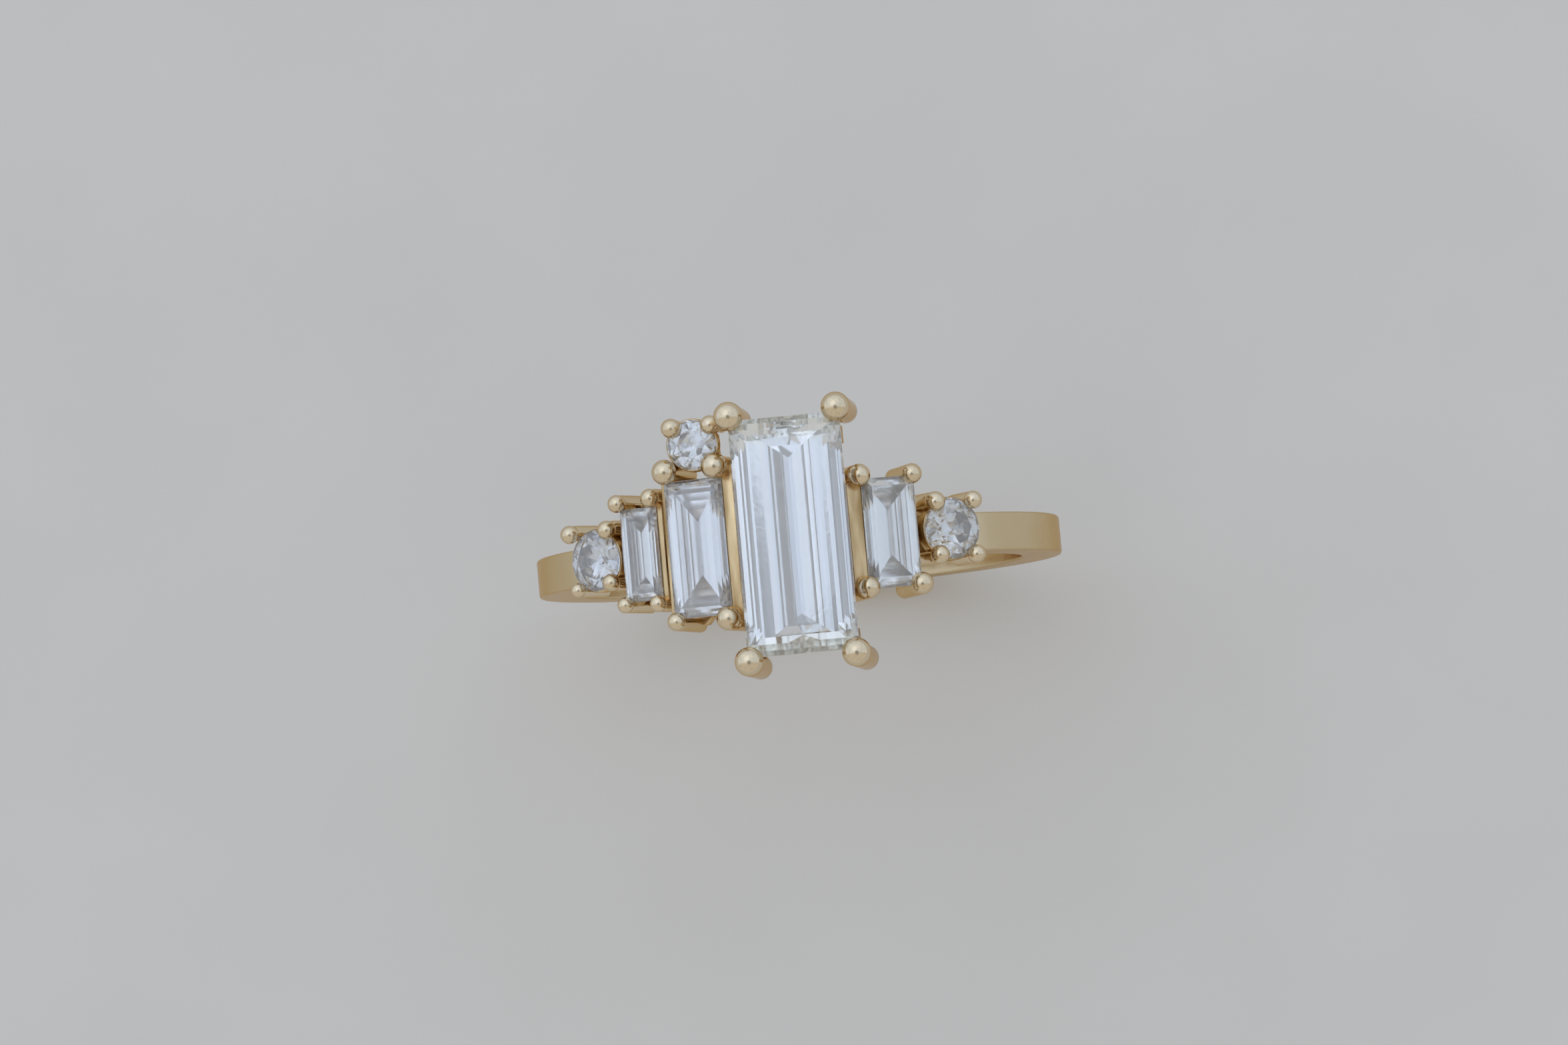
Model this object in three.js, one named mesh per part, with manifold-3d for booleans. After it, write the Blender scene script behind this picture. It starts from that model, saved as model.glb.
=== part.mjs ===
// Cluster engagement ring: a flat polished band carrying seven stones, each in its own pronged head.
// Millimetres. +Z points out of the finger through the heads, +X runs along the row of stones and
// +Y runs along the finger. The origin is the middle of the finger hole.
import * as THREE from "three";
import { ConvexGeometry } from "three/addons/geometries/ConvexGeometry.js";
import { mergeVertices } from "three/addons/utils/BufferGeometryUtils.js";
import Module from "manifold-3d";

const wasm = await Module();
wasm.setup();

// Band: ring size 6, a flat section with eased edges.
const BORE_RADIUS = 8.25;
const BAND_THICKNESS = 1.5;
const BAND_WIDTH = 1.4;
const BAND_EASE = 0.1;
const BAND_SIDES = 96;
const BAND_RADIUS = BORE_RADIUS + BAND_THICKNESS;

// Clearance left between neighbouring pieces, and the level the heads stand on.
const FIT = 0.02;
const STAND_RADIUS = BAND_RADIUS + 0.03;
const SADDLE_LENGTH = 40;

// Step-cut proportions, as parts of the stone's width: [height, inset] of each crown step, and
// [depth, share of the way in to the keel] of each pavilion step.
const STEP_CROWN = [[0.065, 0.045], [0.11, 0.1], [0.14, 0.16]];
const STEP_PAVILION = [[0.18, 0.24], [0.345, 0.56]];
const STEP_KEEL_DEPTH = 0.52;
const STEP_GIRDLE = 0.02;

// Round brilliant proportions, as parts of the diameter.
const ROUND_TABLE = 0.28;
const ROUND_CROWN = 0.15;
const ROUND_BEZEL = [0.39, 0.092];
const ROUND_GIRDLE = 0.025;
const ROUND_LOWER = [0.2, 0.24];
const ROUND_PAVILION = 0.43;

// Rails: each head has a seat just under the stone and a base standing on the band. Where a rail's
// corners have to come out to the prongs, its ends stay drawn in between them.
const SEAT_TOP = 0.06;
const SEAT_HEIGHT = 0.46;
const SEAT_BEARING = 0.45;
const SEAT_TUCK = 0.08;
const ROUND_SEAT_WALL = 0.22;
const SEAT_SIDES = 24;
const BASE_TOP_RADIUS = 10.3;
const BASE_DEPTH = 1.1;
const BASE_WALL = 0.42;
const BASE_RECESS = 0.25;
const EAR = 0.3;
const BITE = 0.08;
const CORNER = 0.12;
const WAIST_SLOPE = 0.6;

// Prongs: round wire with a ball tip. The feet end just above the band's outside.
const WIRE_SIDES = 8;
const BALL_SIDES = 12;
const BALL_STEPS = 6;
const FOOT_EASE = 0.4;
const FOOT_RADIUS = 9.83;

const GOLD = { color: 0xd9ab5c, roughness: 0.18, metalness: 1 };
const DIAMOND = { color: 0xe6eef2, roughness: 0.02, metalness: 0 };

// Middle of a stone that faces straight out of the finger, `polar` degrees round from +Z towards +X.
function radial(polar, radius, y) {
  const angle = THREE.MathUtils.degToRad(polar);
  return [radius * Math.sin(angle), y, radius * Math.cos(angle)];
}

// One entry per head. `keel` is how far a step cut's keel line stops short of the stone's ends, as a
// part of its width. `lips` is how far the seat reaches past the stone's west and east sides, `base` is
// half the base rail's width, and prongs are [corner, x, y, ball radius, wire radius] about the stone's
// middle. A shared prong also holds the neighbouring stone, so its wire stays under its ball.
const HEADS = [
  {
    name: "centre", cut: "step", width: 4.0, length: 8.45, keel: 0.36,
    middle: [1.15, 0.1, 13.2], tilt: 0, lift: 0.45,
    lips: [-0.05, -0.05], base: 1.72, waist: [0.95, 2.9], shared: [],
    prongs: [
      ["nw", -1.92, 4.37, 0.52, 0.45], ["ne", 1.92, 4.37, 0.52, 0.45],
      ["sw", -1.92, -4.37, 0.52, 0.45], ["se", 1.92, -4.37, 0.52, 0.45],
    ],
  },
  {
    name: "west_baguette", cut: "step", width: 2.15, length: 4.92, keel: 0.7,
    middle: radial(-11.3, 12.3, 0), tilt: -11.3, lift: 0.35,
    lips: [0.12, 0.41], base: 0.86, shared: ["nw", "ne"],
    prongs: [
      ["nw", -0.91, 2.8, 0.45, 0.37], ["ne", 0.97, 2.85, 0.475, 0.38],
      ["sw", -0.92, -2.56, 0.33, 0.28], ["se", 1.03, -2.61, 0.44, 0.38],
    ],
  },
  {
    name: "west_slim_baguette", cut: "step", width: 1.5, length: 3.35, keel: 0.6,
    middle: radial(-23.9, 11.46, 0.05), tilt: -22.7, lift: 0.3,
    lips: [-0.05, 0.2], base: 0.62, shared: [],
    prongs: [
      ["nw", -0.68, 1.9, 0.32, 0.28], ["ne", 0.7, 1.96, 0.34, 0.29],
      ["sw", -0.66, -1.76, 0.29, 0.25], ["se", 0.69, -1.83, 0.31, 0.27],
    ],
  },
  {
    name: "west_round", cut: "round", width: 2.2, length: 2.2,
    middle: radial(-35.5, 11.14, 0.06), tilt: -32.9, lift: 0.3,
    lips: [0.05, 0.05], base: 0.72, shared: [],
    prongs: [
      ["nw", -0.89, 1.04, 0.33, 0.28], ["ne", 0.86, 1.03, 0.34, 0.29],
      ["sw", -0.7, -1.0, 0.27, 0.23], ["se", 0.88, -0.87, 0.32, 0.28],
    ],
  },
  {
    name: "north_round", cut: "round", width: 1.8, length: 1.8,
    middle: radial(-10.8, 12.3, 3.69), tilt: -3, lift: 0.3,
    lips: [0.05, 0.05], base: 0.62, shared: [],
    prongs: [
      ["nw", -0.67, 0.64, 0.35, 0.3], ["ne", 0.74, 0.64, 0.335, 0.24],
    ],
  },
  {
    name: "east_baguette", cut: "step", width: 1.96, length: 3.95, keel: 0.6,
    middle: radial(22, 11.87, 0), tilt: 21.4, lift: 0.35,
    lips: [0.54, -0.05], base: 0.85, shared: [],
    prongs: [
      ["nw", -1.13, 2.08, 0.41, 0.35], ["ne", 0.83, 2.02, 0.36, 0.31],
      ["sw", -1.12, -1.93, 0.41, 0.35], ["se", 0.88, -1.92, 0.4, 0.34],
    ],
  },
  {
    name: "east_round", cut: "round", width: 2.2, length: 2.2,
    middle: radial(35.8, 11.05, 0.05), tilt: 33.8, lift: 0.3,
    lips: [0.05, 0.05], base: 0.72, shared: [],
    prongs: [
      ["nw", -0.77, 0.98, 0.36, 0.31], ["ne", 0.79, 0.97, 0.32, 0.28],
      ["sw", -0.75, -0.93, 0.34, 0.29], ["se", 0.76, -0.98, 0.33, 0.28],
    ],
  },
];

// Moves a shape built about a stone's middle to its place on the ring.
function toRing(geometry, head) {
  geometry.rotateY(THREE.MathUtils.degToRad(head.tilt));
  return geometry.translate(...head.middle);
}

// Closed manifold from a geometry, for the cuts below.
function solid(geometry) {
  const bare = geometry.clone();
  bare.deleteAttribute("normal");
  bare.deleteAttribute("uv");
  const welded = mergeVertices(bare, 1e-5);
  const mesh = new wasm.Mesh({
    numProp: 3,
    vertProperties: new Float32Array(welded.attributes.position.array),
    triVerts: new Uint32Array(welded.index.array),
  });
  return new wasm.Manifold(mesh);
}

function geometryOf(manifold) {
  const mesh = manifold.getMesh();
  const geometry = new THREE.BufferGeometry();
  geometry.setAttribute("position", new THREE.BufferAttribute(mesh.vertProperties, 3));
  geometry.setIndex(new THREE.BufferAttribute(mesh.triVerts, 1));
  return geometry;
}

// Four corners of a rectangle at height z.
function rectangle(halfX, halfY, z) {
  return [[1, 1], [-1, 1], [-1, -1], [1, -1]].map(([x, y]) => new THREE.Vector3(x * halfX, y * halfY, z));
}

// Points evenly round a circle at height z, the first one `turn` steps from +X.
function circle(count, radius, z, turn) {
  const points = [];
  for (let i = 0; i < count; i += 1) {
    const angle = (i + turn) * 2 * Math.PI / count;
    points.push(new THREE.Vector3(radius * Math.cos(angle), radius * Math.sin(angle), z));
  }
  return points;
}

// Rectangular step cut: stepped crown, thin girdle, stepped pavilion down to a keel line.
function stepCut({ width, length, keel }, grow) {
  const x = width / 2 + grow;
  const y = length / 2 + grow;
  const points = [
    ...rectangle(x, y, width * STEP_GIRDLE / 2),
    ...rectangle(x, y, -width * STEP_GIRDLE / 2),
  ];
  for (const [height, inset] of STEP_CROWN) {
    points.push(...rectangle(x - width * inset, y - width * inset, width * height + grow));
  }
  for (const [depth, share] of STEP_PAVILION) {
    const end = y - width * keel * share;
    points.push(...rectangle(x * (1 - share), end, -width * depth - grow));
  }
  const tip = y - width * keel;
  for (const end of [-tip, tip]) {
    points.push(new THREE.Vector3(0, end, -width * STEP_KEEL_DEPTH - grow));
  }
  return new ConvexGeometry(points);
}

// Round brilliant: table, bezel and star junctions, girdle, lower halves and culet.
function brilliant(diameter, grow) {
  const [bezelRadius, bezelHeight] = ROUND_BEZEL;
  const [lowerRadius, lowerDepth] = ROUND_LOWER;
  const girdle = diameter * ROUND_GIRDLE / 2;
  return new ConvexGeometry([
    ...circle(8, diameter * ROUND_TABLE + grow, diameter * ROUND_CROWN + grow, 0),
    ...circle(8, diameter * bezelRadius + grow, diameter * bezelHeight + grow, 0.5),
    ...circle(16, diameter / 2 + grow, girdle, 0),
    ...circle(16, diameter / 2 + grow, -girdle, 0),
    ...circle(8, diameter * lowerRadius + grow, -diameter * lowerDepth - grow, 0.5),
    new THREE.Vector3(0, 0, -diameter * ROUND_PAVILION - grow),
  ]);
}

function stone(head, grow) {
  return toRing(head.cut === "step" ? stepCut(head, grow) : brilliant(head.width, grow), head);
}

// Outline about x = `middle` from the points of its +X, +Y quarter, which run from beside +X towards +Y.
function mirrored(path, middle, quarter) {
  const half = [...quarter, ...quarter.toReversed().map(([x, y]) => [-x, y])];
  const around = [...half, ...half.map(([x, y]) => [-x, -y])];
  return path.setFromPoints(around.map(([x, y]) => new THREE.Vector2(x + middle, y)));
}

// Where the long sides draw in to a waist so that the neighbouring heads fit beside it.
function waistPoints(halfX, waist) {
  return waist ? [waist, [halfX, waist[1] + (halfX - waist[0]) * WAIST_SLOPE]] : [];
}

// Corner of a rail and, when the corner comes out past the rail's end, the step back to that end.
function cornerPoints(halfX, corner, end) {
  const points = [[halfX, corner - CORNER], [halfX - CORNER, corner]];
  const back = corner - end;
  return back > FIT ? [...points, [halfX - EAR, corner], [halfX - EAR - back, end]] : points;
}

// Closed frame between two heights, about x = `middle`. Its corners come out to `corner` along the
// finger and its ends stop at `end`; its sides are drawn in if it has a waist. The opening is about
// x = 0, `open` in half-width, and leaves `wall` at the ends.
function frame({ halfX, middle, corner, end, waist, open, wall }, bottom, top, grow) {
  const outerWaist = waist && [waist[0] + grow, waist[1] - grow];
  const innerWaist = waist && [waist[0] - wall - grow, waist[1] + grow];
  const outer = mirrored(new THREE.Shape(), middle, [
    ...waistPoints(halfX + grow, outerWaist), ...cornerPoints(halfX + grow, corner + grow, end + grow),
  ]);
  outer.holes.push(mirrored(new THREE.Path(), 0, [
    ...waistPoints(open - grow, innerWaist), [open - grow, end - wall - grow],
  ]));
  const shape = new THREE.ExtrudeGeometry(outer, { depth: top - bottom + 2 * grow, bevelEnabled: false });
  return shape.translate(0, 0, bottom - grow);
}

// How far along the finger a head's rails come out to bite into its prongs.
function reach(head) {
  return BITE + Math.max(...head.prongs.map(([, , y, ball, wire]) => Math.abs(y) + ball - 2 * wire));
}

// Solid of revolution about +Z from [radius, height] pairs.
function turned(profile, sides) {
  const points = profile.map(([r, z]) => new THREE.Vector2(r, z));
  return new THREE.LatheGeometry(points, sides).rotateX(Math.PI / 2);
}

// Closed ring of wall thickness `wall` between two heights.
function ring(radius, wall, bottom, top, grow) {
  const inside = radius - wall - grow;
  const outside = radius + grow;
  const start = [inside, bottom - grow];
  const section = [start, [outside, bottom - grow], [outside, top + grow], [inside, top + grow], start];
  return turned(section, SEAT_SIDES);
}

// Rail under the stone's edge; its lips may show past the stone's long sides.
function seat(head, grow) {
  const [west, east] = head.lips;
  const bottom = -SEAT_TOP - SEAT_HEIGHT;
  if (head.cut === "round") {
    return toRing(ring(head.width / 2 + east, ROUND_SEAT_WALL, bottom, -SEAT_TOP, grow), head);
  }
  const end = head.length / 2 - SEAT_TUCK;
  const outline = {
    halfX: (head.width + west + east) / 2, middle: (east - west) / 2,
    corner: Math.max(reach(head), end), end, open: head.width / 2 - SEAT_BEARING, wall: SEAT_BEARING,
  };
  return toRing(frame(outline, bottom, -SEAT_TOP, grow), head);
}

// Height, in a head's own frame, of the point on its axis that is `radius` from the finger's axis.
function heightAt(head, radius) {
  const [x, , z] = head.middle;
  const lean = Math.atan2(x, z) - THREE.MathUtils.degToRad(head.tilt);
  return radius - Math.hypot(x, z) * Math.cos(lean);
}

// Rail that the head stands on.
function base(head, grow) {
  const top = heightAt(head, BASE_TOP_RADIUS);
  const corner = reach(head);
  const outline = {
    halfX: head.base, middle: 0, corner, end: corner - BASE_RECESS, waist: head.waist,
    open: head.base - BASE_WALL, wall: BASE_WALL,
  };
  return toRing(frame(outline, top - BASE_DEPTH, top, grow), head);
}

// Round wire with a ball tip bent in over the stone: the wire's outer side runs flush with the ball's.
function prong(head, [corner, x, y, ball, wire]) {
  const foot = heightAt(head, FOOT_RADIUS);
  const offset = head.shared.includes(corner) ? 0 : Math.sign(y) * (ball - wire);
  const ease = wire * FOOT_EASE;
  const wireProfile = [
    [0, foot], [wire - ease, foot], [wire, foot + ease], [wire, head.lift], [0, head.lift],
  ];
  const ballProfile = [];
  for (let i = 0; i <= BALL_STEPS; i += 1) {
    const angle = Math.PI * i / BALL_STEPS;
    const edge = i === 0 || i === BALL_STEPS;
    ballProfile.push([edge ? 0 : ball * Math.sin(angle), head.lift - ball * Math.cos(angle)]);
  }
  const tip = turned(ballProfile, BALL_SIDES).translate(x, y, 0);
  const stem = turned(wireProfile, WIRE_SIDES).translate(x, y + offset, 0);
  return toRing(geometryOf(solid(tip).add(solid(stem))), head);
}

// Flat band with eased edges, turned about the finger's axis.
function band() {
  const half = BAND_WIDTH / 2;
  const flat = half - BAND_EASE;
  const inside = BORE_RADIUS + BAND_EASE;
  const outside = BAND_RADIUS - BAND_EASE;
  const section = [
    [BORE_RADIUS, -flat], [inside, -half], [outside, -half], [BAND_RADIUS, -flat],
    [BAND_RADIUS, flat], [outside, half], [inside, half], [BORE_RADIUS, flat],
  ];
  const points = [...section, section[0]].map(([r, y]) => new THREE.Vector2(r, y));
  return new THREE.LatheGeometry(points, BAND_SIDES);
}

// Bar along the finger that the base rails are hollowed to sit over.
function saddle() {
  return solid(new THREE.CylinderGeometry(STAND_RADIUS, STAND_RADIUS, SADDLE_LENGTH, BAND_SIDES));
}

function finish(name, geometry, look) {
  const mesh = new THREE.Mesh(geometry, new THREE.MeshStandardMaterial(look));
  mesh.name = name;
  return mesh;
}

// Takes from a prong whatever it shares with the stones and rails round it.
function notched(shape, keepouts) {
  shape.computeBoundingBox();
  const near = keepouts.filter((keepout) => keepout.box.intersectsBox(shape.boundingBox));
  return geometryOf(near.reduce((left, keepout) => left.subtract(keepout.solid), solid(shape)));
}

function keepout(geometry) {
  geometry.computeBoundingBox();
  return { box: geometry.boundingBox, solid: solid(geometry) };
}

function assemble() {
  const whole = new THREE.Group();
  const underfoot = saddle();
  const keepouts = HEADS.flatMap((head) => [stone, seat, base].map((shape) => keepout(shape(head, FIT))));
  whole.add(finish("band", band(), GOLD));
  for (const head of HEADS) {
    const pocket = solid(stone(head, FIT));
    whole.add(finish(`${head.name}_stone`, stone(head, 0), DIAMOND));
    whole.add(finish(`${head.name}_seat`, geometryOf(solid(seat(head, 0)).subtract(pocket)), GOLD));
    whole.add(finish(`${head.name}_base`, geometryOf(solid(base(head, 0)).subtract(underfoot)), GOLD));
    for (const place of head.prongs) {
      whole.add(finish(`${head.name}_prong_${place[0]}`, notched(prong(head, place), keepouts), GOLD));
    }
  }
  return whole;
}

export default assemble();
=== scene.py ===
"""Cluster engagement ring: a polished yellow gold band and seven diamonds in ball-pronged heads.

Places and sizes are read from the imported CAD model. Shapes are worked out in millimetres, the stones,
round seats and prongs in their head's own frame (x across the row of stones, y along the finger, z out
through the table), and are moved to the ring, in metres, as each piece is made.
"""

import math

import bmesh
import bpy
from mathutils import Matrix, Vector, noise


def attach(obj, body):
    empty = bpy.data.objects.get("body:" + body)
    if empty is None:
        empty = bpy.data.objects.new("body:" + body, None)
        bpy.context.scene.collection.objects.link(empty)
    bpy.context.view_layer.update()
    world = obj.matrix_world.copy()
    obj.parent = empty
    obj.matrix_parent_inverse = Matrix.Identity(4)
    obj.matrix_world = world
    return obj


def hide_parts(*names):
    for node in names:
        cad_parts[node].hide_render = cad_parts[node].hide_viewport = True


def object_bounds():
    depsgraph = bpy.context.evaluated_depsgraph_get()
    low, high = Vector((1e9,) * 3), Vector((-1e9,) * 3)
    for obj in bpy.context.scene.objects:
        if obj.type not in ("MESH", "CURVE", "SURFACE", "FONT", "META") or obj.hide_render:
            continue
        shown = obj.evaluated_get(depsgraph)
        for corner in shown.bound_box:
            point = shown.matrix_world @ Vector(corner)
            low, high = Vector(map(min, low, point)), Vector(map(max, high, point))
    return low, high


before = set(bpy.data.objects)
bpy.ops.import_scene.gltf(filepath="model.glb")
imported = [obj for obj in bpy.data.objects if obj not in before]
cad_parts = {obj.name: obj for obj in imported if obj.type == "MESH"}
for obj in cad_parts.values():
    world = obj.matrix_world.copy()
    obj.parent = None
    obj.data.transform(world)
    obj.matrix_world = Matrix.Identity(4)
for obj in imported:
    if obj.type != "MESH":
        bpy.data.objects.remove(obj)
CAD_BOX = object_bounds()

MM = 0.001
BODY = "root"
SEED = 7

HEADS = [
    "centre", "west_baguette", "west_slim_baguette", "west_round",
    "north_round", "east_baguette", "east_round",
]
SHARED_PRONGS = {"west_baguette_prong_nw", "west_baguette_prong_ne"}

# Reading the CAD: the smallest length that counts and how near points on one level are, in
# millimetres; how steeply the normal of a face that looks up has to rise, and to how many decimals the
# normals of one flat agree.
HAIR = 0.001
LEVEL = 0.01
LOOKS_UP = 0.3
SAME_WAY = 2

# Step cut, as parts of the stone's width: (height, inset) of each crown step, and
# (depth, share of the way in to the keel) of each pavilion step.
STEP_CROWN = [(0.065, 0.045), (0.11, 0.1), (0.14, 0.16)]
STEP_PAVILION = [(0.128, 0.16), (0.226, 0.32), (0.319, 0.5), (0.407, 0.7), (0.52, 1.0)]
STEP_GIRDLE = 0.02

# Round brilliant, as parts of the diameter, with the usual facet angles in degrees.
ROUND_TABLE = 0.56
ROUND_CROWN = 0.15
ROUND_GIRDLE = 0.025
ROUND_PAVILION = 0.43
STAR_ANGLE = 21.0
UPPER_HALF_ANGLE = 42.0
LOWER_HALF_ANGLE = 42.6
MAINS = 8
GIRDLE_FACETS = 64

# The blocks that stones are cut from, in stone lengths. In millimetres, how near to a cutting plane a
# point counts as on it, and how near to each other points are joined, in a stone and in a rail.
STEP_BLOCK = 2.5
ROUND_BLOCK = 3.0
ON_PLANE = 1e-6
STONE_WELD = 1e-5
RAIL_WELD = 1e-4

# Points round each turned shape, and round a corner and along a side of the band's section.
BAND_TURNS = 288
SEAT_TURNS = 96
PRONG_TURNS = 48
CORNER_STEPS = 6
SIDE_STEPS = 4

# Edges, in millimetres and degrees. A rail's faces that lie within FLAT_BELOW of each other are made
# one, and its edges that turn by more than EASED_ABOVE are eased. Smooth shading stops at edges that
# turn by more than the SHARP angles.
EDGE = 0.035
BAND_EDGE = 0.1
EASED_ABOVE = 35.0
FLAT_BELOW = 1.0
EASE_STEPS = 3
EASE_PROFILE = 0.6
SHARP_GOLD = 32.0
SHARP_STONE = 1.0

# Rounded rim of a turned seat, from the outside in: (inwards, down) in units of EDGE.
SEAT_RIM = [(0.0, 1.5), (0.4, 0.5), (1.3, 0.0)]

# Prongs: the wire's radius, how far under the ball's centre the ball starts and how far under it the
# wire is centred on it, in ball radii; and how much of the foot's radius is rounded off.
WIRE_TO_BALL = 0.86
NECK = 1.15
CENTRED = 0.1
FOOT_ROUND = 0.4
FOOT_STEPS = 6
WIRE_STEPS = 8
BALL_STEPS = 34

# A prong's unevenness from hand finishing: its greatest share of the radius, its grains to the
# millimetre, and how widely the prongs' places in the noise are strewn.
WOBBLE = 0.012
WOBBLE_GRAIN = 1.6
WOBBLE_REACH = 10

# Camera: how far it leans towards +X and towards -Y from straight above and rolls, in degrees, its
# distance, lens and sensor in millimetres, where the ring lies from the middle of the picture, in
# millimetres, and the nearest and furthest things it sees, in metres.
LEAN_EAST = 5.65
LEAN_SOUTH = 3.5
ROLL = 5.0
DISTANCE = 275.0
FOCAL = 169.6
SENSOR = 36.0
RING_RIGHT = 0.57
RING_BELOW = 1.32
CLIP_START = 0.01
CLIP_END = 5.0

# Noises: nearly all values lie between LOW and HIGH, and most noises have the usual roughness.
NOISE_LOW = 0.3
NOISE_HIGH = 0.7
NOISE_ROUGHNESS = 0.5

# Each stone's own clarity and colour: share of light its polish scatters, how much it blurs what
# passes, how strongly growth lines in it break up its reflections, and its tint.
STONE_LOOKS = {
    "centre": (0.02, 0.05, 0.01, (0.83, 0.87, 0.93)),
    "west_baguette": (0.03, 0.12, 0.02, (0.81, 0.85, 0.92)),
    "west_slim_baguette": (0.05, 0.12, 0.02, (0.92, 0.96, 1.0)),
    "west_round": (0.1, 0.1, 0.2, (0.84, 0.90, 1.0)),
    "north_round": (0.08, 0.1, 0.2, (0.86, 0.92, 1.0)),
    "east_baguette": (0.05, 0.11, 0.02, (0.93, 0.975, 1.0)),
    "east_round": (0.1, 0.1, 0.25, (0.91, 0.96, 1.0)),
}

# All stones: noises are (grains to the metre, detail), the depth of the growth lines is in
# millimetres, and the middle stone's warmer tint, a painted warm reflection, starts and is full at
# these distances, in millimetres, from its ends.
DIAMOND_IOR = 2.417
TINT_NOISE = (300.0, 2.0)
CLOUD_NOISE = (2500.0, 2.0)
GROWTH_NOISE = (4000.0, 1.0)
GROWTH_DEPTH = 0.03
# Painted warm reflection: the tint mixed into the middle stone towards its ends.
PAINTED_REFLECTION_TINT = (0.93, 0.96, 0.84, 1)
REFLECTION_FROM = 0.9
REFLECTION_FULL = 0.2

# Each gold finish: its deeper and paler tints, patches of them to the metre, how many times longer
# than wide the patches and the ripple are, its least and greatest roughness, and how strong the ripple
# is. The rails are less well polished than the band and the wires, and their deep brown tint is
# painted shade, in streaks, for rails that lie in the stones' shadow.
GOLD_LOOKS = {
    "band": ((0.75, 0.62, 0.40, 1), (0.79, 0.67, 0.46, 1), 260, 1.0, (0.16, 0.28), 0.25),
    "wire": ((0.78, 0.65, 0.45, 1), (0.82, 0.70, 0.51, 1), 260, 1.0, (0.08, 0.18), 0.35),
    # Rails: the deep brown tint is painted shade for rails in the stones' shadow; the roughness is real.
    "rail": ((0.40, 0.26, 0.11, 1), (0.80, 0.61, 0.36, 1), 2200, 7.0, (0.2, 0.34), 0.7),
}

# All gold: noises are (grains to the metre, detail, roughness if not the usual), depths are in
# millimetres, and the tints change over between the two PATCH values of their noise.
EDGE_TINT = (0.80, 0.62, 0.40, 1)
PATCH_DETAIL = 3.0
PATCH_LOW = 0.35
PATCH_HIGH = 0.65
HAZE_NOISE = (1500.0, 4.0)
RIPPLE_NOISE = (900.0, 2.0)
RIPPLE_DEPTH = 0.04
MARK_NOISE = (9000.0, 3.0, 0.6)
MARK_STRENGTH = 0.12
MARK_DEPTH = 0.004

# Floor: half its width in metres, its gap under the ring in millimetres, and its matt surface.
FLOOR_REACH = 1.0
FLOOR_GAP = 0.02
FLOOR_DARK = (0.725, 0.695, 0.66, 1)
FLOOR_LIGHT = (0.775, 0.75, 0.715, 1)
FLOOR_NOISE = (120.0, 4.0)
FLOOR_ROUGHNESS = 0.8

# Sky: what the ring sees towards +Y and towards -Y and where the two meet, from 0 in the south to 1 in
# the north; how finely bars of shade cross it each way, their shade and the noise values they span.
SKY_NORTH = (0.83, 0.90, 1.0, 1)
SKY_SOUTH = (0.70, 0.66, 0.60, 1)
SKY_TURN = (0.39, 0.46)
SKY_BARS = (15.0, 0.8, 5.0)
BAR_NOISE = (1.0, 2.0)
BAR_SHADE = (0.76, 0.79, 0.83, 1)
BAR_SPAN = (0.38, 0.6)
WHITE = (1.0, 1.0, 1.0, 1)
SKY_STRENGTH = 0.9

# Window: its direction, how much it brightens the sky and from what cosine of the angle to it, and
# the lamp in it, in metres and watts.
WINDOW = (-0.2, 0.45, 0.87)
WINDOW_GAIN = 1.2
WINDOW_SPREAD = 0.55
WINDOW_DISTANCE = 0.9
WINDOW_SIZE = (0.6, 0.5)
WINDOW_POWER = 0.2
WINDOW_COLOUR = (1.0, 0.99, 0.98)

# Lens card: its radius and how far it is moved towards -Y in metres, and its distance in parts of the
# camera's.
LENS_RADIUS = 0.08
LENS_SOUTH = 0.03
LENS_DISTANCE = 1.1
LENS_POINTS = 48
LENS_COLOUR = (0.56, 0.555, 0.55, 1)

# Light passes many facets before it leaves a stone.
BOUNCES = 48


# ---------------------------------------------------------------- reading the CAD model

def cad_points(node):
    """The CAD node's vertices in millimetres."""
    return [v.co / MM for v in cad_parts[node].data.vertices]


def extents(points):
    low = Vector([min(p[i] for p in points) for i in range(3)])
    high = Vector([max(p[i] for p in points) for i in range(3)])
    return low, high


def facing(node):
    """Normal of the direction that most of the CAD node's upper surface faces."""
    areas = {}
    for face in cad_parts[node].data.polygons:
        if face.normal.z > LOOKS_UP:
            key = tuple(round(c, SAME_WAY) for c in face.normal)
            area, total = areas.get(key, (0.0, Vector()))
            areas[key] = (area + face.area, total + face.normal * face.area)
    return max(areas.values())[1].normalized() if areas else Vector((0, 0, 1))


class Head:
    """A stone's own frame and its measures, read from the CAD stone."""

    def __init__(self, name):
        self.name = name
        self.round = name.endswith("_round")
        node = f"{name}_stone"
        normal = facing(node)
        turn = Matrix.Rotation(math.atan2(normal.x, normal.z), 4, "Y")
        points = [turn.inverted() @ p for p in cad_points(node)]
        low, high = extents(points)
        rim = [p.z for p in points if p.x > high.x - LEVEL]
        middle = Vector(((low.x + high.x) / 2, (low.y + high.y) / 2, (min(rim) + max(rim)) / 2))
        keel = max(abs(p.y - middle.y) for p in points if p.z < low.z + LEVEL)
        self.width = high.x - low.x
        self.length = high.y - low.y
        self.keel_inset = (self.length / 2 - keel) / self.width
        self.to_ring = turn @ Matrix.Translation(middle)

    def local(self, node):
        """A CAD node's vertices in this head's frame."""
        back = self.to_ring.inverted()
        return [back @ p for p in cad_points(node)]


# ---------------------------------------------------------------- making pieces

def in_scene(name, data):
    """A new object of that name and data."""
    made = bpy.data.objects.new(name, data)
    bpy.context.scene.collection.objects.link(made)
    return made


def shade(mesh, material, sharp_above):
    """One material all over, and smooth shading up to the edges that turn by more than that angle."""
    mesh.materials.clear()
    mesh.materials.append(material)
    for face in mesh.polygons:
        face.material_index = 0
        face.use_smooth = True
    mesh.set_sharp_from_angle(angle=math.radians(sharp_above))


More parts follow.
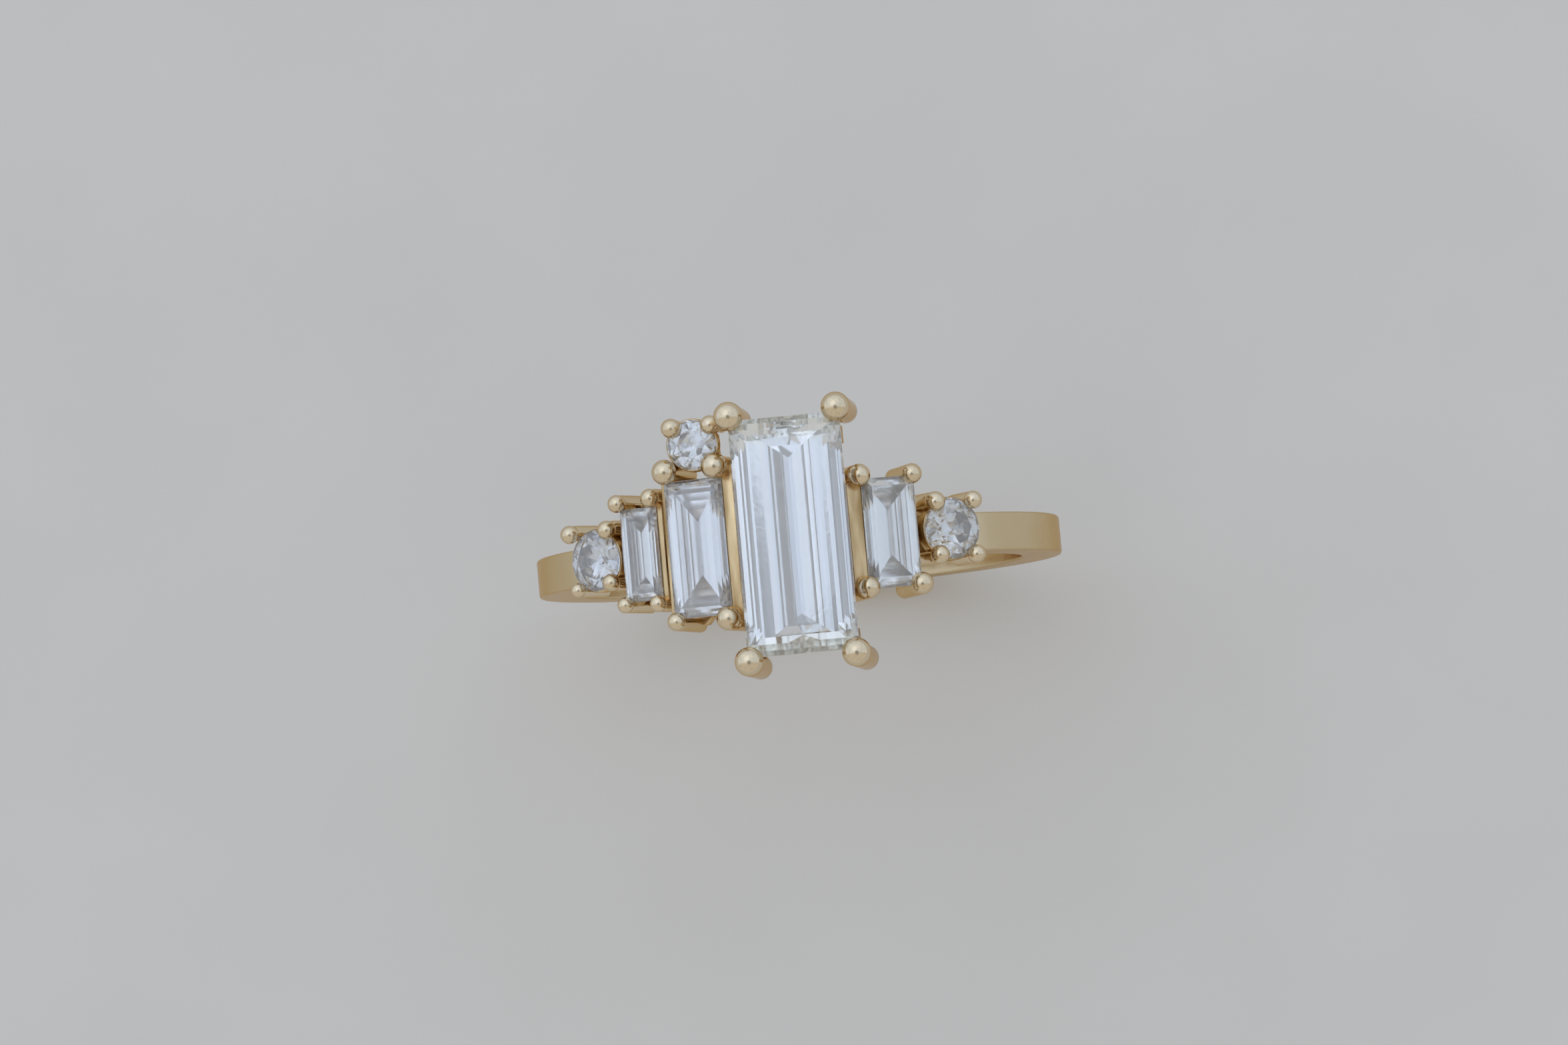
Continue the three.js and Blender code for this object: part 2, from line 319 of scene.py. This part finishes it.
def piece(node, shape, place, material, sharp_above=SHARP_GOLD):
    """Turns a bmesh in millimetres into a finished piece that stands for the CAD node."""
    bmesh.ops.transform(shape, matrix=Matrix.Scale(MM, 4) @ place, verts=shape.verts)
    bmesh.ops.recalc_face_normals(shape, faces=shape.faces)
    mesh = bpy.data.meshes.new(node)
    shape.to_mesh(mesh)
    shape.free()
    shade(mesh, material, sharp_above)
    made = in_scene(f"{node}_fine", mesh)
    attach(made, BODY)
    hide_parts(node)
    return made


def skin(shape, loops, close_loops=True):
    """Quads between neighbouring loops of points, and if wanted round from the last to the first."""
    rows = [[shape.verts.new(p) for p in loop] for loop in loops]
    count = len(rows[0])
    pairs = list(zip(rows, rows[1:]))
    if close_loops:
        pairs.append((rows[-1], rows[0]))
    for one, other in pairs:
        for i in range(count):
            j = (i + 1) % count
            shape.faces.new((one[i], one[j], other[j], other[i]))
    return rows


def circle(radius, count, z):
    return [
        Vector((radius * math.cos(t), radius * math.sin(t), z))
        for t in (2 * math.pi * i / count for i in range(count))
    ]


def corner_arc(radius, quarter):
    """Quarter circle about the origin, from the given quarter turn to the next."""
    return [
        Vector((math.cos(a), math.sin(a), 0)) * radius
        for a in (math.pi / 2 * quarter + math.pi / 2 * i / CORNER_STEPS for i in range(CORNER_STEPS + 1))
    ]


def rounded_loop(half_x, half_y, middle_x, radius):
    """Points round a rectangle with rounded corners."""
    centres = [
        Vector((middle_x + side_x * (half_x - radius), side_y * (half_y - radius), 0))
        for side_x, side_y in ((1, 1), (-1, 1), (-1, -1), (1, -1))
    ]
    loop = []
    for quarter, centre in enumerate(centres):
        loop += [centre + p for p in corner_arc(radius, quarter)]
        start = loop[-1]
        end = centres[(quarter + 1) % 4] + corner_arc(radius, quarter + 1)[0]
        loop += [start.lerp(end, k / SIDE_STEPS) for k in range(1, SIDE_STEPS)]
    return loop


# ---------------------------------------------------------------- the stones

def cut_gem(planes, size):
    """A block cut back, plane by plane, as a stone is ground: each plane is (point, outward normal)."""
    shape = bmesh.new()
    bmesh.ops.create_cube(shape, size=size)
    for point, normal in planes:
        everything = shape.verts[:] + shape.edges[:] + shape.faces[:]
        cut = bmesh.ops.bisect_plane(
            shape, geom=everything, dist=ON_PLANE, plane_co=point, plane_no=normal, clear_outer=True,
        )
        edges = [e for e in cut["geom_cut"] if isinstance(e, bmesh.types.BMEdge)]
        if edges:
            bmesh.ops.contextual_create(shape, geom=edges)
    bmesh.ops.remove_doubles(shape, verts=shape.verts, dist=STONE_WELD)
    return shape


def step_profile(half, width, keel_inset):
    """(outward, height) points of one side of a step cut, from the table's edge down to the keel."""
    girdle = width * STEP_GIRDLE / 2
    crown = [(half - width * inset, width * height) for height, inset in reversed(STEP_CROWN)]
    pavilion = [(half - width * keel_inset * share, -width * depth) for depth, share in STEP_PAVILION]
    return crown + [(half, girdle), (half, -girdle)] + pavilion


def facet_normal(upper, lower):
    """Outward normal of the facet that runs down from one (outward, height) point to the next."""
    out, down = lower[0] - upper[0], upper[1] - lower[1]
    return Vector((down, 0, out)).normalized()


def step_cut(head):
    """Rectangular stone whose long sides meet at the keel, and whose ends stop short of its ends."""
    half_x, half_y = head.width / 2, head.length / 2
    table = head.width * STEP_CROWN[-1][0]
    planes = [(Vector((0, 0, table)), Vector((0, 0, 1)))]
    sides = [(half_x, half_x / head.width, 0), (half_y, head.keel_inset, 90)]
    for half, keel_inset, angle in sides:
        profile = step_profile(half, head.width, keel_inset)
        for turn in (angle, angle + 180):
            around = Matrix.Rotation(math.radians(turn), 3, "Z")
            for one, two in zip(profile, profile[1:]):
                normal = facet_normal(one, two)
                planes.append((around @ Vector((one[0], 0, one[1])), around @ normal))
    return cut_gem(planes, STEP_BLOCK * head.length)


def tilted(azimuth, angle):
    """Unit normal leaning `angle` degrees from +Z towards `azimuth`; past 90 it faces down."""
    a, t = math.radians(azimuth), math.radians(angle)
    return Vector((math.sin(t) * math.cos(a), math.sin(t) * math.sin(a), math.cos(t)))


def brilliant(head):
    """Round stone: table, then mains, stars, pavilion and half facets all round, and the girdle."""
    diameter = head.width
    radius = diameter / 2
    table = ROUND_TABLE * radius
    crown = ROUND_CROWN * diameter
    girdle = ROUND_GIRDLE * diameter / 2
    depth = ROUND_PAVILION * diameter
    main = math.degrees(math.atan2(crown - girdle, radius - table))
    pavilion = math.degrees(math.atan2(depth - girdle, radius))
    step = 360.0 / MAINS
    up = Vector((0, 0, 1))
    planes = [(up * crown, up)]
    for i in range(MAINS):
        at = step * i
        star = at + step / 2
        star_edge = tilted(star, 90.0) * (table * math.cos(math.pi / MAINS)) + up * crown
        planes.append((tilted(at, 90.0) * radius + up * girdle, tilted(at, main)))
        planes.append((star_edge, tilted(star, STAR_ANGLE)))
        planes.append((up * -depth, tilted(at, 180.0 - pavilion)))
        for half in (at - step / 4, at + step / 4):
            rim = tilted(half, 90.0) * radius
            planes.append((rim + up * girdle, tilted(half, UPPER_HALF_ANGLE)))
            planes.append((rim - up * girdle, tilted(half, 180.0 - LOWER_HALF_ANGLE)))
    for i in range(GIRDLE_FACETS):
        out = tilted(360.0 * i / GIRDLE_FACETS, 90.0)
        planes.append((out * radius, out))
    return cut_gem(planes, ROUND_BLOCK * diameter)


def make_stone(head):
    shape = brilliant(head) if head.round else step_cut(head)
    return piece(f"{head.name}_stone", shape, head.to_ring, stone_look(head), SHARP_STONE)


# ---------------------------------------------------------------- the gold

def make_band(material):
    """Flat band with eased edges, swept round the finger's axis."""
    points = cad_points("band")
    outside = max(math.hypot(p.x, p.z) for p in points) - HAIR
    inside = min(math.hypot(p.x, p.z) for p in points)
    half = max(p.y for p in points)
    section = rounded_loop((outside - inside) / 2, half, (outside + inside) / 2, BAND_EDGE)
    loops = []
    for i in range(BAND_TURNS):
        a = 2 * math.pi * i / BAND_TURNS
        loops.append([Vector((p.x * math.sin(a), p.y, p.x * math.cos(a))) for p in section])
    shape = bmesh.new()
    skin(shape, loops)
    piece("band", shape, Matrix.Identity(4), material)


def make_rail(node, material):
    """The CAD's straight-sided rail with its edges eased."""
    shape = bmesh.new()
    shape.from_mesh(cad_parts[node].data)
    bmesh.ops.scale(shape, vec=Vector((1, 1, 1)) / MM, verts=shape.verts)
    bmesh.ops.remove_doubles(shape, verts=shape.verts, dist=RAIL_WELD)
    bmesh.ops.dissolve_limit(
        shape, angle_limit=math.radians(FLAT_BELOW), verts=shape.verts, edges=shape.edges,
    )
    limit = math.radians(EASED_ABOVE)
    sharp = [e for e in shape.edges if len(e.link_faces) == 2 and e.calc_face_angle(0) > limit]
    bmesh.ops.bevel(
        shape, geom=sharp, offset=EDGE, segments=EASE_STEPS, profile=EASE_PROFILE, affect="EDGES",
        clamp_overlap=True,
    )
    piece(node, shape, Matrix.Identity(4), material)


def make_round_seat(head, material):
    """Turned rail under a round stone: rounded rim, flat bearing, and a slope that clears the stone."""
    node = f"{head.name}_seat"
    points = head.local(node)
    low, high = extents(points)
    outside = high.x
    inside = min(math.hypot(p.x, p.y) for p in points)
    bearing = min(math.hypot(p.x, p.y) for p in points if p.z > high.z - LEVEL)
    slope_foot = high.z - (bearing - inside) * 2 * ROUND_PAVILION
    section = [(outside - EDGE, low.z), (outside, low.z + EDGE)]
    section += [(outside - inwards * EDGE, high.z - down * EDGE) for inwards, down in SEAT_RIM]
    section += [(bearing + LEVEL, high.z), (inside, slope_foot), (inside, low.z)]
    loops = []
    for i in range(SEAT_TURNS):
        a = 2 * math.pi * i / SEAT_TURNS
        loops.append([Vector((r * math.cos(a), r * math.sin(a), z)) for r, z in section])
    shape = bmesh.new()
    skin(shape, loops)
    piece(node, shape, head.to_ring, material)


def ball_of(points, node):
    """Centre and radius of a prong's ball tip, from the pole of the CAD ball and its neighbours."""
    pole = max(points, key=lambda p: p.z)
    near = []
    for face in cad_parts[node].data.polygons:
        corners = [points[i] for i in face.vertices]
        if any((c - pole).length < HAIR for c in corners):
            near += [c for c in corners if (c - pole).length > LEVEL]
    radii = sorted((c - pole).length_squared / (2 * (pole.z - c.z)) for c in near if pole.z - c.z > HAIR)
    radius = radii[len(radii) // 2]
    return Vector((pole.x, pole.y, pole.z - radius)), radius


def wire_radius(points, ball):
    """Radius of a prong's wire: its usual share of the ball's, or half the CAD wire's width if less."""
    foot = min(p.z for p in points)
    near = [p.x for p in points if p.z < foot + ball]
    return min(WIRE_TO_BALL * ball, (max(near) - min(near)) / 2)


def smooth(t):
    """0 below 0, 1 above 1, and an easy curve between."""
    t = min(max(t, 0.0), 1.0)
    return t * t * (3 - 2 * t)


def prong_profile(foot, neck, ball, ball_radius, wire):
    """(height, radius) from the foot up: rounded foot, straight wire, and the ball but for its pole."""
    profile = []
    for t in range(FOOT_STEPS + 1):
        a = t * math.pi / (2 * FOOT_STEPS)
        rise = wire * FOOT_ROUND * (1 - math.cos(a))
        profile.append((foot + rise, wire * (1 - FOOT_ROUND + FOOT_ROUND * math.sin(a))))
    start = foot + wire
    profile += [(start + (neck - start) * t / WIRE_STEPS, wire) for t in range(1, WIRE_STEPS + 1)]
    for t in range(1, BALL_STEPS):
        z = neck + (ball + ball_radius - neck) * (1 - math.cos(math.pi * t / BALL_STEPS)) / 2
        sphere = math.sqrt(max(ball_radius ** 2 - (z - ball) ** 2, 0.0))
        profile.append((z, max(sphere, HAIR if z > ball else wire)))
    return profile


def make_prong(head, node, material, stones):
    """Round wire drawn up into a ball tip, notched where the stones sit in it."""
    points = head.local(node)
    ball, radius = ball_of(points, node)
    wire = wire_radius(points, radius)
    foot = min(p.z for p in points)
    neck = ball.z - radius * NECK
    centred = ball.z - CENTRED * radius
    outwards = 0.0 if node in SHARED_PRONGS else math.copysign(radius - wire, ball.y)
    phase = noise.random_vector() * WOBBLE_REACH
    loops = []
    for z, r in prong_profile(foot, neck, ball.z, radius, wire):
        shift = outwards * (1 - smooth((z - neck) / (centred - neck)))
        loop = []
        for p in circle(r, PRONG_TURNS, z):
            wobble = 1 - WOBBLE * abs(noise.noise(p * WOBBLE_GRAIN + phase))
            loop.append(Vector((ball.x + p.x * wobble, ball.y + shift + p.y * wobble, z)))
        loops.append(loop)
    shape = bmesh.new()
    rows = skin(shape, loops, close_loops=False)
    shape.faces.new(rows[0])
    pole = shape.verts.new(Vector((ball.x, ball.y, ball.z + radius)))
    for one, two in zip(rows[-1], rows[-1][1:] + rows[-1][:1]):
        shape.faces.new((one, two, pole))
    made = piece(node, shape, head.to_ring, material)
    notch(made, stones, material)


def box_of(made):
    return extents([v.co for v in made.data.vertices])


def notch(made, stones, material):
    """Cuts from a prong what the stones beside it fill."""
    low, high = box_of(made)
    for stone in stones:
        stone_low, stone_high = box_of(stone)
        if all(low[i] < stone_high[i] and stone_low[i] < high[i] for i in range(3)):
            cut = made.modifiers.new("notch", "BOOLEAN")
            cut.operation = "DIFFERENCE"
            cut.solver = "EXACT"
            cut.object = stone
    if made.modifiers:
        graph = bpy.context.evaluated_depsgraph_get()
        mesh = bpy.data.meshes.new_from_object(made.evaluated_get(graph))
        made.modifiers.clear()
        made.data = mesh
        shade(mesh, material, SHARP_GOLD)


# ---------------------------------------------------------------- shader nodes

def new_material(name):
    material = bpy.data.materials.new(name)
    material.use_nodes = True
    nodes, links = material.node_tree.nodes, material.node_tree.links
    return material, nodes, links, nodes["Principled BSDF"]


def noise_over(nodes, links, coordinates, stretch, scale, detail, roughness=NOISE_ROUGHNESS):
    """Noise over the given coordinates, first multiplied by `stretch`."""
    mapping = nodes.new("ShaderNodeMapping")
    mapping.inputs["Scale"].default_value = stretch
    texture = nodes.new("ShaderNodeTexNoise")
    texture.inputs["Scale"].default_value = scale
    texture.inputs["Detail"].default_value = detail
    texture.inputs["Roughness"].default_value = roughness
    links.new(coordinates, mapping.inputs["Vector"])
    links.new(mapping.outputs["Vector"], texture.inputs["Vector"])
    return texture.outputs["Fac"]


def grain(nodes, links, scale, detail, roughness=NOISE_ROUGHNESS, drawn=1.0):
    """Noise over a piece, drawn out `drawn` times as long along the finger as it is wide."""
    place = nodes.new("ShaderNodeTexCoord").outputs["Object"]
    return noise_over(nodes, links, place, (1.0, 1.0 / drawn, 1.0), scale, detail, roughness)


def two_tone(nodes, links, source, start_colour, end_colour, start=0.0, end=1.0):
    """Colour that passes from one to the other as the source goes from `start` to `end`."""
    ramp = nodes.new("ShaderNodeValToRGB")
    first, last = ramp.color_ramp.elements
    first.position = start
    first.color = start_colour
    last.position = end
    last.color = end_colour
    links.new(source, ramp.inputs["Fac"])
    return ramp.outputs["Color"]


def spread(nodes, links, source, low, high, start=NOISE_LOW, end=NOISE_HIGH, curve="LINEAR"):
    """Number that goes from `low` to `high` as the source goes from `start` to `end`."""
    span = nodes.new("ShaderNodeMapRange")
    span.interpolation_type = curve
    span.inputs["From Min"].default_value = start
    span.inputs["From Max"].default_value = end
    span.inputs["To Min"].default_value = low
    span.inputs["To Max"].default_value = high
    links.new(source, span.inputs["Value"])
    return span.outputs["Result"]


def relief(nodes, links, height, strength, depth, under=None):
    """Normal of a surface that `height` raises by `depth` millimetres at most, on top of `under`."""
    bump = nodes.new("ShaderNodeBump")
    bump.inputs["Strength"].default_value = strength
    bump.inputs["Distance"].default_value = depth * MM
    links.new(height, bump.inputs["Height"])
    if under is not None:
        links.new(under, bump.inputs["Normal"])
    return bump.outputs["Normal"]


# ---------------------------------------------------------------- materials

def gold_material(name):
    """Polished yellow gold with drifting colour, a hand-finished ripple and fine polishing marks. On the
    rails the drift's deep tint is painted shade.
    """
    deep, pale, patches, drawn, rough, ripple = GOLD_LOOKS[name]
    material, nodes, links, shader = new_material(f"gold_{name}")
    shader.inputs["Metallic"].default_value = 1.0
    shader.inputs["Specular Tint"].default_value = EDGE_TINT
    drift = grain(nodes, links, patches, PATCH_DETAIL, drawn=drawn)
    # Colour drift between the deep and pale tints; on the rails the deep tint is painted shade.
    colour = two_tone(nodes, links, drift, deep, pale, PATCH_LOW, PATCH_HIGH)
    links.new(colour, shader.inputs["Base Color"])
    haze = grain(nodes, links, *HAZE_NOISE)
    links.new(spread(nodes, links, haze, *rough), shader.inputs["Roughness"])
    waves = relief(nodes, links, grain(nodes, links, *RIPPLE_NOISE, drawn=drawn), ripple, RIPPLE_DEPTH)
    marks = relief(nodes, links, grain(nodes, links, *MARK_NOISE), MARK_STRENGTH, MARK_DEPTH, waves)
    links.new(marks, shader.inputs["Normal"])
    return material


def diamond_material(name, haze, soft, growth, tint, ends=None):
    """Clear, faintly blue diamond. `haze` is the share of light the polish scatters, `soft` blurs what
    passes, `growth` is the strength of its growth lines, `tint` is its colour, and `ends` is where, in
    metres from its middle along the finger, a painted warm reflection, a warmer tint, starts and is full."""
    material, nodes, links, shader = new_material(name)
    shader.inputs["Transmission Weight"].default_value = 1.0 - haze
    shader.inputs["IOR"].default_value = DIAMOND_IOR
    paler = [math.sqrt(c) for c in tint]
    colour = two_tone(nodes, links, grain(nodes, links, *TINT_NOISE), (*tint, 1), (*paler, 1))
    if ends:
        colour = painted_reflection_towards_ends(nodes, links, colour, ends)
    links.new(colour, shader.inputs["Base Color"])
    cloud = grain(nodes, links, *CLOUD_NOISE)
    links.new(spread(nodes, links, cloud, soft / 2, soft), shader.inputs["Roughness"])
    lines = relief(nodes, links, grain(nodes, links, *GROWTH_NOISE), growth, GROWTH_DEPTH)
    links.new(lines, shader.inputs["Normal"])
    return material


# Painted warm reflection: a warm tint mixed into the stone's colour towards its ends.
def painted_reflection_towards_ends(nodes, links, colour, ends):
    split = nodes.new("ShaderNodeSeparateXYZ")
    links.new(nodes.new("ShaderNodeTexCoord").outputs["Object"], split.inputs["Vector"])
    away = nodes.new("ShaderNodeMath")
    away.operation = "ABSOLUTE"
    links.new(split.outputs["Y"], away.inputs[0])
    reflection_mix = nodes.new("ShaderNodeMix")
    reflection_mix.data_type = "RGBA"
    reflection_mix.inputs["B"].default_value = PAINTED_REFLECTION_TINT
    links.new(spread(nodes, links, away.outputs["Value"], 0.0, 1.0, *ends), reflection_mix.inputs["Factor"])
    links.new(colour, reflection_mix.inputs["A"])
    return reflection_mix.outputs["Result"]


def stone_look(head):
    """The large stone in the middle also gets a painted warm reflection towards its ends."""
    half = head.length / 2
    ends = ((half - REFLECTION_FROM) * MM, (half - REFLECTION_FULL) * MM) if head.name == "centre" else None
    return diamond_material(f"diamond_{head.name}", *STONE_LOOKS[head.name], ends)


def floor_material():
    material, nodes, links, shader = new_material("studio_floor")
    colour = two_tone(nodes, links, grain(nodes, links, *FLOOR_NOISE), FLOOR_DARK, FLOOR_LIGHT)
    links.new(colour, shader.inputs["Base Color"])
    shader.inputs["Roughness"].default_value = FLOOR_ROUGHNESS
    return material


# ---------------------------------------------------------------- camera, lights and floor

def view_axes():
    """Camera's right, up and backward directions."""
    east, south = math.radians(LEAN_EAST), math.radians(LEAN_SOUTH)
    back = Vector((
        math.sin(east) * math.cos(south), -math.sin(south), math.cos(east) * math.cos(south),
    ))
    level = Vector((0, 1, 0)).cross(back).normalized()
    upright = back.cross(level)
    roll = math.radians(ROLL)
    right = level * math.cos(roll) - upright * math.sin(roll)
    up = upright * math.cos(roll) + level * math.sin(roll)
    return right, up, back


def make_camera():
    """The scene's camera; gives back its place."""
    right, up, back = view_axes()
    data = bpy.data.cameras.new("camera")
    data.sensor_width = SENSOR
    data.lens = FOCAL
    data.clip_start = CLIP_START
    data.clip_end = CLIP_END
    camera = in_scene("camera", data)
    place = (back * DISTANCE - right * RING_RIGHT + up * RING_BELOW) * MM
    turn = Matrix((right, up, back)).transposed().to_4x4()
    camera.matrix_world = Matrix.Translation(place) @ turn
    bpy.context.scene.camera = camera
    return place


def make_floor():
    mesh = bpy.data.meshes.new("floor")
    level = CAD_BOX[0].z - FLOOR_GAP * MM
    corners = [
        Vector((x * FLOOR_REACH, y * FLOOR_REACH, level)) for x, y in ((-1, -1), (1, -1), (1, 1), (-1, 1))
    ]
    mesh.from_pydata(corners, [], [(0, 1, 2, 3)])
    mesh.materials.append(floor_material())
    floor = in_scene("floor", mesh)


def make_world():
    """Soft daylight: cool towards +Y, warmer and dimmer towards -Y, with faint bars of shade along Y,
    and brighter about the window."""
    world = bpy.data.worlds.new("studio")
    world.use_nodes = True
    nodes, links = world.node_tree.nodes, world.node_tree.links
    directions = nodes.new("ShaderNodeTexCoord").outputs["Generated"]
    split = nodes.new("ShaderNodeSeparateXYZ")
    links.new(directions, split.inputs["Vector"])
    north = spread(nodes, links, split.outputs["Y"], 0.0, 1.0, -1.0, 1.0)
    sky = two_tone(nodes, links, north, SKY_SOUTH, SKY_NORTH, *SKY_TURN)
    clouds = noise_over(nodes, links, directions, SKY_BARS, *BAR_NOISE)
    bars = two_tone(nodes, links, clouds, BAR_SHADE, WHITE, *BAR_SPAN)
    both = nodes.new("ShaderNodeMix")
    both.data_type = "RGBA"
    both.blend_type = "MULTIPLY"
    both.inputs["Factor"].default_value = 1.0
    links.new(sky, both.inputs["A"])
    links.new(bars, both.inputs["B"])
    towards = nodes.new("ShaderNodeVectorMath")
    towards.operation = "DOT_PRODUCT"
    towards.inputs[1].default_value = Vector(WINDOW).normalized()
    links.new(directions, towards.inputs[0])
    glow = spread(
        nodes, links, towards.outputs["Value"], SKY_STRENGTH, SKY_STRENGTH * WINDOW_GAIN,
        WINDOW_SPREAD, 1.0, "SMOOTHSTEP",
    )
    background = nodes["Background"]
    links.new(both.outputs["Result"], background.inputs["Color"])
    links.new(glow, background.inputs["Strength"])
    bpy.context.scene.world = world


def make_window():
    """Lamp that fills the window and faces the ring."""
    data = bpy.data.lights.new("window", "AREA")
    data.shape = "RECTANGLE"
    data.size, data.size_y = WINDOW_SIZE
    data.energy = WINDOW_POWER
    data.color = WINDOW_COLOUR
    lamp = in_scene("window", data)
    way = Vector(WINDOW).normalized()
    lamp.location = way * WINDOW_DISTANCE
    lamp.rotation_mode = "QUATERNION"
    lamp.rotation_quaternion = way.to_track_quat("Z", "Y")


def make_lens_card(camera_place):
    """Grey disc behind the camera, which polished gold and stones mirror as a photographer's lens."""
    shape = bmesh.new()
    bmesh.ops.create_circle(shape, cap_ends=True, radius=LENS_RADIUS, segments=LENS_POINTS)
    mesh = bpy.data.meshes.new("lens_card")
    shape.to_mesh(mesh)
    shape.free()
    material, *_, shader = new_material("lens_grey")
    shader.inputs["Base Color"].default_value = LENS_COLOUR
    mesh.materials.append(material)
    card = in_scene("lens_card", mesh)
    card.location = camera_place * LENS_DISTANCE - Vector((0.0, LENS_SOUTH, 0.0))
    card.visible_camera = False


def light_the_set(camera_place):
    make_world()
    make_window()
    make_lens_card(camera_place)
    scene = bpy.context.scene
    scene.view_settings.view_transform = "Standard"
    scene.cycles.max_bounces = BOUNCES
    scene.cycles.transmission_bounces = BOUNCES
    scene.cycles.glossy_bounces = BOUNCES


# ---------------------------------------------------------------- the whole ring

def make_ring():
    noise.seed_set(SEED)
    band_gold, wire_gold, rail_gold_painted_shade = [gold_material(name) for name in ("band", "wire", "rail")]
    make_band(band_gold)
    heads = [Head(name) for name in HEADS]
    stones = [make_stone(head) for head in heads]
    for head in heads:
        if head.round:
            make_round_seat(head, rail_gold_painted_shade)
        else:
            make_rail(f"{head.name}_seat", rail_gold_painted_shade)
        make_rail(f"{head.name}_base", rail_gold_painted_shade)
        for node in sorted(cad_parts):
            if node.startswith(f"{head.name}_prong_"):
                make_prong(head, node, wire_gold, stones)


def main():
    light_the_set(make_camera())
    make_floor()
    make_ring()


main()
